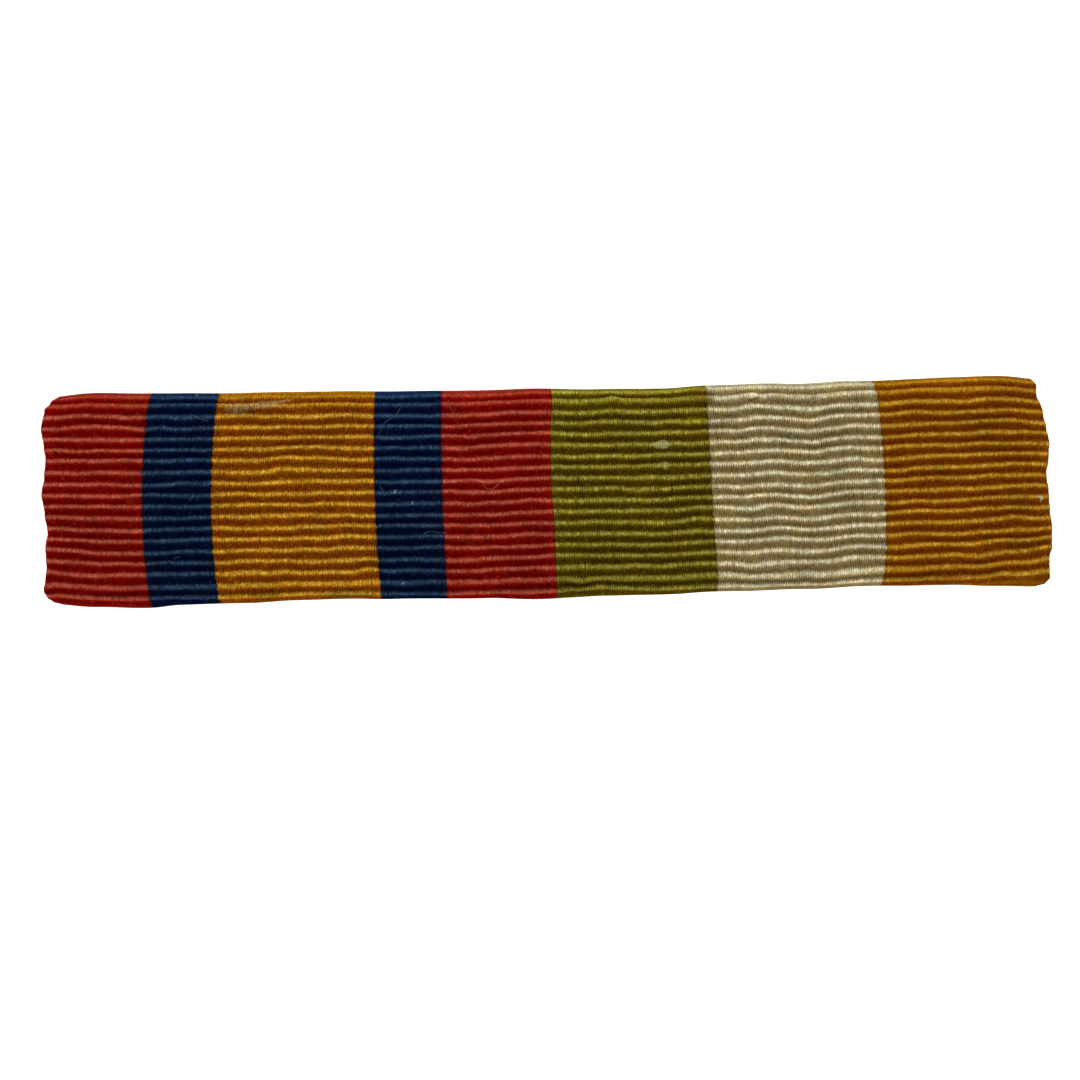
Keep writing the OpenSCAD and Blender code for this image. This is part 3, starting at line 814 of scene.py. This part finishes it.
def marked(tree, which, place, faded, shaded):
    """The dye's painted highlight and painted shade colours, with the stains, flecks and worn places laid
    over them, and the painted gleams and painted shade marks.
    """
    look = bpy.context.scene.ribbon_bar_dyes
    rough = add_node(tree, "ShaderNodeTexNoise", {"Vector": place, "Scale": 5200.0, "Detail": 2.0})
    shift = vectors(tree, "SUBTRACT", {0: rough.outputs["Color"], 1: (0.5, 0.5, 0.5)})
    ragged = vectors(tree, "ADD", {0: place, 1: stretched(tree, shift, 0.22 * MM, 0.14 * MM, 0.0)})
    for dye, x, y, reach_x, reach_y, turn, strength, kept in MARKS:
        if (x > 0) == (which == 1):
            shade = getattr(look, dye)
            mask = times(tree, spot(tree, ragged, x, y, reach_x, reach_y, turn), strength)
            faded = mixed(tree, mask, faded, shade)
            shaded = mixed(tree, mask, shaded, [level * kept for level in shade])
    return faded, shaded


class Weave:
    """What the parts of one ribbon's silk share: its place, ribs, warp threads and stripes."""

    def __init__(self, tree, which):
        scene = bpy.context.scene
        cloth, look = scene.ribbon_bar_cloth, scene.ribbon_bar_dyes
        wrap = Wrap(cloth)
        uv = add_node(tree, "ShaderNodeUVMap", uv_map="cloth")
        split = add_node(tree, "ShaderNodeSeparateXYZ", {0: uv.outputs[0]})
        share, self.along = split.outputs[0], split.outputs[1]
        self.place = object_place(tree)

        # rib counts the ribs downwards, always above 0, with whole numbers in the grooves. thread
        # counts the warp threads, which lie half a thread further on every other rib
        ribs = 2 * wrap.cloth_end / cloth.rib_pitch
        middle = 40.5 - wrap.rib_start
        self.rib = times(tree, sums(tree, "SUBTRACT", self.along, 0.5), ribs, middle)
        self.rib_number = sums(tree, "FLOOR", self.rib)
        self.thread = times(tree, share, round(cloth.ribbon_width / cloth.thread_pitch))
        odd = times(tree, sums(tree, "MODULO", self.rib_number, 2.0), 0.5)
        self.staggered = sums(tree, "ADD", self.thread, odd)
        self.wave = sums(tree, "COSINE", times(tree, self.staggered, 2 * math.pi))
        self.width_mm = times(tree, share, cloth.ribbon_width / MM)
        self.patch = noise(tree, stretched(tree, self.place, 900, 1400, 1), 1.0, 2.0)

        # The painted highlight line runs a little above the crest. lean is 1 under the line and -1 over it
        above_crest = 0.07
        self.angle = times(tree, sums(tree, "ADD", self.rib, 0.5 + above_crest), 2 * math.pi)
        self.lean = sums(tree, "SINE", self.angle)

        # The seams between the stripes step a little from rib to rib
        step = sums(tree, "SUBTRACT", noise(tree, grid(tree, 0.0, self.rib), 1.7, 1.0), 0.5)
        self.seam_share = times(tree, step, 0.009, share)
        self.seams = [row[1] for row in SEAMS if row[0] == which]
        stripes = [row for row in STRIPES if row[0] == which]

        def by_stripe(values):
            return striped(tree, self.seam_share, list(zip([0.0] + self.seams, values)))

        faded = by_stripe([getattr(look, row[1]) for row in stripes])
        shaded = by_stripe([getattr(look, f"{row[1]}_deep") for row in stripes])
        self.ticks, self.fuzz, self.softness, self.top_share, self.top_light = (
            by_stripe([(row[column],) * 3 for row in stripes]) for column in range(2, 7)
        )
        self.draw_in = by_stripe([row[7] for row in stripes])
        self.faded, self.shaded = marked(tree, which, self.place, faded, shaded)


def painted_highlight_line(tree, weave):
    """How much of the painted highlight line along its rib a place has, 0 to 1. The thread ends stand out
    along the line's upper side, and it blurs where the cloth turns over the folds."""
    fray_at = grid(tree, times(tree, weave.width_mm, 3.2), weave.rib)
    fray = sums(tree, "SUBTRACT", noise(tree, fray_at, 1.0, 3.0, 0.65), 0.5)
    thread_at = grid(tree, weave.thread, times(tree, weave.rib, 1.3))
    own = sums(tree, "SUBTRACT", noise(tree, thread_at, 0.8, 1.0), 0.5)
    beside = ranged(tree, sums(tree, "ABSOLUTE", weave.lean), 0.2, 0.95, 0.06, 1.0)
    teeth = times(tree, times(tree, weave.wave, beside), ranged(tree, weave.patch, 0.42, 0.60, 0.10, 0.55))
    near_top = ranged(tree, weave.along, 0.275, 0.245, 0.0, 0.8)
    line = sums(tree, "ADD", sums(tree, "COSINE", weave.angle), near_top)
    line = times(tree, fray, 1.1, line)
    line = times(tree, times(tree, own, 0.75, teeth), weave.ticks, line)
    line = sums(tree, "POWER", ranged(tree, line, -0.85, 1.15), 2.6)
    under = sums(tree, "POWER", sums(tree, "MAXIMUM", weave.lean, 0.0), 2.0)
    line = times(tree, under, weave.softness, line)
    upper = ranged(tree, weave.along, 0.302, 0.250)
    less = sums(tree, "SUBTRACT", weave.top_share, 1.0)
    line = times(tree, line, times(tree, upper, less, 1.0))
    for start, full, end, last_full, paleness in FOLD_BLURS:
        blurred = ranged(tree, weave.along, start, full, 0.0, 0.9)
        blurred = times(tree, blurred, ranged(tree, weave.along, end, last_full))
        line = times(tree, blurred, sums(tree, "SUBTRACT", paleness, line), line)
    return line


def dyed(tree, weave, line):
    """Colour of the silk: the dye's painted shade colour, its painted highlight colour on the line,
    painted glints and dark specks along the line, and slow changes.
    """
    reach = vectors(tree, "SCALE", {0: weave.draw_in, 3: sums(tree, "SUBTRACT", 1.0, line)})
    reach = vectors(tree, "SCALE", {0: vectors(tree, "SUBTRACT", {0: (1.0, 1.0, 1.0), 1: reach}), 3: line})
    reach = vectors(tree, "MAXIMUM", {0: reach, 1: (0.0, 0.0, 0.0)})
    apart = vectors(tree, "SUBTRACT", {0: weave.faded, 1: weave.shaded})
    base = vectors(tree, "ADD", {0: weave.shaded, 1: vectors(tree, "MULTIPLY", {0: apart, 1: reach})})
    # Painted light and shade: lighter under the line, darker over it
    base = scaled(tree, base, grey(tree, times(tree, weave.lean, 0.20, 1.0)))
    # Painted glints and dark specks along the highlight line
    glint_at = grid(tree, times(tree, weave.width_mm, 3.1), times(tree, weave.rib_number, 7.3))
    glint = ranged(tree, noise(tree, glint_at, 1.0, 4.0, 0.75), 0.3, 0.72)
    base = tinted(tree, line, base, mixed(tree, glint, (0.80, 0.78, 0.73), (1.25, 1.27, 1.42)))
    # Painted light on the top fold: the colour there is less red and more blue
    base = tinted(tree, ranged(tree, weave.along, 0.248, 0.238), base, (0.90, 0.98, 1.20))
    tone_at = grid(tree, times(tree, weave.width_mm, 0.7), times(tree, weave.rib_number, 3.7))
    tone = ranged(tree, noise(tree, tone_at, 1.0, 3.0, 0.6), 0.32, 0.68)
    base = scaled(tree, base, mixed(tree, tone, (1.04, 0.98, 0.88), (0.97, 1.02, 1.10)))

    # Height on the bar from -1 to 1, which scales each stripe's painted top light, cloudy patches, and each
    # thread's own shade
    height = times(tree, sums(tree, "SUBTRACT", 0.5, weave.along), 4.0)
    height = sums(tree, "MINIMUM", sums(tree, "MAXIMUM", height, -1.0), 1.0)
    base = scaled(tree, base, grey(tree, times(tree, height, weave.top_light, 1.0)))
    cloud = noise(tree, stretched(tree, weave.place, 260, 420, 1), 1.0, 3.0)
    base = scaled(tree, base, ranged_grey(tree, cloud, 0.3, 0.7, 0.88, 1.12))
    own = noise(tree, grid(tree, weave.thread, times(tree, weave.rib, 0.35)), 0.9, 2.0, 0.7)
    return scaled(tree, base, ranged_grey(tree, own, 0.25, 0.75, 0.86, 1.14))


def frayed(tree, weave, base, fuzz):
    """Lays the fuzz of broken filaments over the colour, with paler hairs both ways painted lit: a brighter
    copy of the colour mixed with the painted highlight colour.
    """
    base = tinted(tree, weave.fuzz, base, ranged_grey(tree, fuzz, 0.34, 0.70, 0.42, 1.80))
    for degrees, seed in ((38.0, 3.0), (-52.0, 9.0)):
        lay = turned(tree, weave.place, degrees)
        hair = noise(tree, stretched(tree, lay, 1900, 13000, 1, (seed, 0.0, 0.0)), 1.0, 1.0)
        hair = times(tree, ranged(tree, hair, 0.61, 0.72, 0.0, 0.8), weave.fuzz)
        lit = scaled(tree, base, (1.7, 1.9, 2.1))
        base = mixed(tree, hair, base, mixed(tree, 0.28, lit, weave.faded))
    return base


def threaded(tree, weave, line, base):
    """Paints shade in the gaps between warp threads, at the seams and on single threads that sink, and a
    painted glint on single threads that shine.
    """
    ticks = bpy.context.scene.ribbon_bar_dyes.ticks
    gap_shade = times(tree, ranged(tree, weave.wave, 0.1, -0.8), ranged(tree, line, 0.0, 1.0, 1.0, 0.12))
    gap_shade = times(tree, gap_shade, ranged(tree, weave.patch, 0.35, 0.62, 0.25, 1.0))
    gap_shade = times(tree, gap_shade, times(tree, weave.ticks, ticks), clamp=True)
    base = tinted(tree, gap_shade, base, (0.40, 0.33, 0.24))
    cell = grid(tree, sums(tree, "FLOOR", weave.staggered), weave.rib_number)
    dice = add_node(tree, "ShaderNodeTexWhiteNoise", {"Vector": cell}, noise_dimensions="2D")
    chance = dice.outputs["Value"]
    between = times(tree, ranged(tree, weave.wave, 0.0, -0.9), ranged(tree, line, 0.0, 1.0, 1.0, 0.4))
    sunk_shade = times(tree, times(tree, ranged(tree, chance, 0.78, 0.92), between), weave.ticks)
    base = tinted(tree, sunk_shade, base, (0.58, 0.52, 0.42))
    thread_glint = times(tree, times(tree, ranged(tree, chance, 0.24, 0.10), line), weave.ticks)
    base = tinted(tree, thread_glint, base, (1.25, 1.26, 1.28))
    # Painted shade along the seams between stripes
    for seam in weave.seams:
        away = sums(tree, "ABSOLUTE", sums(tree, "SUBTRACT", weave.seam_share, seam))
        base = tinted(tree, ranged(tree, away, 0.0045, 0.0, 0.0, 0.5), base, (0.4, 0.4, 0.45))
    return base


def silk(name, which):
    """Ribbed silk in the stripes of one ribbon."""
    # The silk has no specular of its own: its highlight is painted into the colour.
    material, tree, shader = new_material(name, {"Roughness": 0.6, "Specular IOR Level": 0.0})
    weave = Weave(tree, which)
    line = painted_highlight_line(tree, weave)
    slant = turned(tree, weave.place, 14)
    fuzz = noise(tree, stretched(tree, slant, 10500, 4300, 7000), 1.0, 3.0, 0.75)
    base = frayed(tree, weave, dyed(tree, weave, line), fuzz)
    link(tree, threaded(tree, weave, line, base), shader.inputs["Base Color"])
    raised = times(tree, times(tree, weave.wave, weave.ticks), 0.35, fuzz)
    bumped(tree, shader, 0.6, 0.02 * MM, raised)
    return material


def lint(name):
    """Loose fibres, redder on the right-hand crimson stripe."""
    look = bpy.context.scene.ribbon_bar_dyes
    material, tree, shader = new_material(name, {"Roughness": 0.5})
    place = object_place(tree)
    along = add_node(tree, "ShaderNodeSeparateXYZ", {0: place}).outputs[0]
    pale = mixed(tree, ranged(tree, along, -7.2 * MM, -6.9 * MM), look.fibre, look.blush)
    tint = ranged_grey(tree, noise(tree, place, 2500.0), 0.3, 0.7, 1.0, 0.54)
    link(tree, scaled(tree, pale, tint), shader.inputs["Base Color"])
    return material


def metal(name, bright, dull, patches, streaks, shades, smooth, relief):
    """A metal with dull patches in it and fine streaks along it. patches holds the scale and the
    roughness of their noise, then where in its range they start and are full."""
    material, tree, shader = new_material(name, {"Metallic": 1.0})
    place = object_place(tree)
    scale, roughness, start, full = patches
    patch = ranged(tree, noise(tree, place, scale, 5.0, roughness), start, full)
    streak = noise(tree, stretched(tree, place, *streaks), 1.0, 2.0)
    tint = ranged_grey(tree, streak, 0.3, 0.7, *shades)
    link(tree, scaled(tree, mixed(tree, patch, bright, dull), tint), shader.inputs["Base Color"])
    link(tree, ranged(tree, patch, 0.0, 1.0, smooth, 0.6), shader.inputs["Roughness"])
    bumped(tree, shader, relief, 0.01 * MM, streak)
    return material


def brass(name):
    """Rolled sheet brass with a brown film."""
    look = bpy.context.scene.ribbon_bar_metals
    film = (420.0, 0.65, 0.38, 0.62)
    return metal(name, look.brass, look.tarnish, film, (300, 9000, 3000), (0.82, 1.1), 0.32, 0.25)


def steel(name):
    """Drawn steel with its nickel plating worn through in places."""
    look = bpy.context.scene.ribbon_bar_metals
    wear = (700.0, 0.7, 0.56, 0.68)
    return metal(name, look.steel, look.rust, wear, (400, 7000, 7000), (0.88, 1.08), 0.28, 0.2)


def dress(piece, material):
    """Gives a piece one material in place of what it had."""
    piece.data.materials.clear()
    piece.data.materials.append(material)


class RIBBONBAR_OT_ribbons(bpy.types.Operator):
    """Make both ribbons, wrapped round the plate, in striped silk"""

    bl_idname = "ribbon_bar.ribbons"
    bl_label = "Ribbons"

    def execute(self, context):
        for which, side in enumerate(("five_stripe", "three_stripe")):
            ribbon = make_ribbon(f"{side}_silk_ribbon", which)
            dress(ribbon, silk(f"silk_{side}", which))
            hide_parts(f"ribbon_{side}")
            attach(ribbon, "root")
        return {"FINISHED"}


class RIBBONBAR_OT_fibres(bpy.types.Operator):
    """Lay a few loose fibres on the ribs of the left ribbon"""

    bl_idname = "ribbon_bar.fibres"
    bl_label = "Loose fibres"

    def execute(self, context):
        cloth = context.scene.ribbon_bar_cloth
        wrap = Wrap(cloth)
        face_z = wrap.axis_z + wrap.outer_r + FIBRE_LIFT
        strands = []
        for points in FIBRES:
            select_only()
            bpy.ops.curve.primitive_bezier_curve_add(location=(0, 0, 0))
            strand = context.object
            curve = strand.data
            curve.bevel_depth = FIBRE_RADIUS
            curve.bevel_resolution = 1
            curve.resolution_u = 4
            spline = curve.splines[0]
            spline.bezier_points.add(len(points) - 2)
            for knot, (x, y) in zip(spline.bezier_points, points):
                knot.co = (x * MM, wrap.lifted(x * MM, y * MM), face_z)
                knot.handle_left_type = knot.handle_right_type = "AUTO"
            strands.append(strand)
        select_only(*strands)
        bpy.ops.object.convert(target="MESH")
        bpy.ops.object.join()
        fibres = context.object
        fibres.name = "loose_fibres"
        bpy.ops.object.mode_set(mode="EDIT")
        finish_mesh()
        dress(fibres, lint("loose_fibre"))
        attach(fibres, "root")
        return {"FINISHED"}


class RIBBONBAR_OT_plate(bpy.types.Operator):
    """Finish the backing plate in aged brass"""

    bl_idname = "ribbon_bar.plate"
    bl_label = "Backing plate"

    def execute(self, context):
        dress(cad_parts["backing_plate"], brass("plate_brass"))
        return {"FINISHED"}


class RIBBONBAR_OT_pin(bpy.types.Operator):
    """Finish the brooch pin in worn nickel-plated steel"""

    bl_idname = "ribbon_bar.pin"
    bl_label = "Brooch pin"

    def execute(self, context):
        dress(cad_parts["brooch_pin"], steel("pin_steel"))
        return {"FINISHED"}


def area_light(name, power, size, place, target):
    """A soft square light that faces a target."""
    bpy.ops.object.light_add(type="AREA", location=place)
    light = bpy.context.object
    light.name = name
    light.data.energy = power
    light.data.size = size
    direction = light.location - target
    light.rotation_euler = direction.to_track_quat("Z", "Y").to_euler()
    return light


class RIBBONBAR_OT_stage(bpy.types.Operator):
    """Set up the camera at the photograph's angle, the pale floor and the lights"""

    bl_idname = "ribbon_bar.stage"
    bl_label = "Stage"

    def execute(self, context):
        scene = context.scene
        look = scene.ribbon_bar_stage
        select_only()
        bpy.ops.object.camera_add(location=CAMERA_PLACE)
        camera = context.object
        camera.name = "photo_camera"
        camera.rotation_mode = "ZYX"
        camera.rotation_euler = [math.radians(angle) for angle in CAMERA_TURN]
        camera.data.sensor_width = 36.0
        camera.data.lens = CAMERA_LENS_MM
        camera.data.clip_start = 0.002
        camera.data.clip_end = 10.0
        scene.camera = camera

        select_only()
        bpy.ops.mesh.primitive_plane_add(size=FLOOR_SIZE, location=(0, 0, -FLOOR_DROP))
        floor = context.object
        floor.name = "pale_floor"
        levels = {
            "Base Color": (*look.floor, 1.0),
            "Roughness": 0.9,
            "Specular IOR Level": 0.1,
            "Emission Color": WHITE,
            "Emission Strength": look.floor_glow,
        }
        dress(floor, new_material("pale_floor", levels)[0])

        middle = (CAD_BOX[0] + CAD_BOX[1]) / 2
        key = area_light("key_light", look.key_power, KEY_SIZE, KEY_PLACE, middle)
        key.data.specular_factor = 0.4
        area_light("fill_light", look.fill_power, FILL_SIZE, FILL_PLACE, middle)
        world = bpy.data.worlds.new("even_sky")
        world.use_nodes = True
        background = world.node_tree.nodes["Background"]
        background.inputs[0].default_value = WHITE
        background.inputs[1].default_value = look.sky
        scene.world = world
        scene.view_settings.view_transform = "Standard"
        return {"FINISHED"}


class RIBBONBAR_PT_panel(bpy.types.Panel):
    bl_idname = "RIBBONBAR_PT_panel"
    bl_label = "Ribbon Bar"
    bl_space_type = "VIEW_3D"
    bl_region_type = "UI"
    bl_category = "Ribbon Bar"

    def draw(self, context):
        for operator in OPERATORS:
            self.layout.operator(operator.bl_idname)


OPERATORS = (
    RIBBONBAR_OT_stage,
    RIBBONBAR_OT_ribbons,
    RIBBONBAR_OT_fibres,
    RIBBONBAR_OT_plate,
    RIBBONBAR_OT_pin,
)
GROUPS = {
    "ribbon_bar_cloth": RibbonBarCloth,
    "ribbon_bar_dyes": RibbonBarDyes,
    "ribbon_bar_metals": RibbonBarMetals,
    "ribbon_bar_stage": RibbonBarStage,
}


def register():
    for entry in (*GROUPS.values(), *OPERATORS, RIBBONBAR_PT_panel):
        bpy.utils.register_class(entry)
    for name, group in GROUPS.items():
        setattr(bpy.types.Scene, name, bpy.props.PointerProperty(type=group))


def unregister():
    for name in GROUPS:
        delattr(bpy.types.Scene, name)
    for entry in (RIBBONBAR_PT_panel, *reversed(OPERATORS), *GROUPS.values()):
        bpy.utils.unregister_class(entry)


def main():
    register()
    bpy.ops.ribbon_bar.stage()
    bpy.ops.ribbon_bar.ribbons()
    bpy.ops.ribbon_bar.fibres()
    bpy.ops.ribbon_bar.plate()
    bpy.ops.ribbon_bar.pin()


if __name__ == "__main__":
    main()
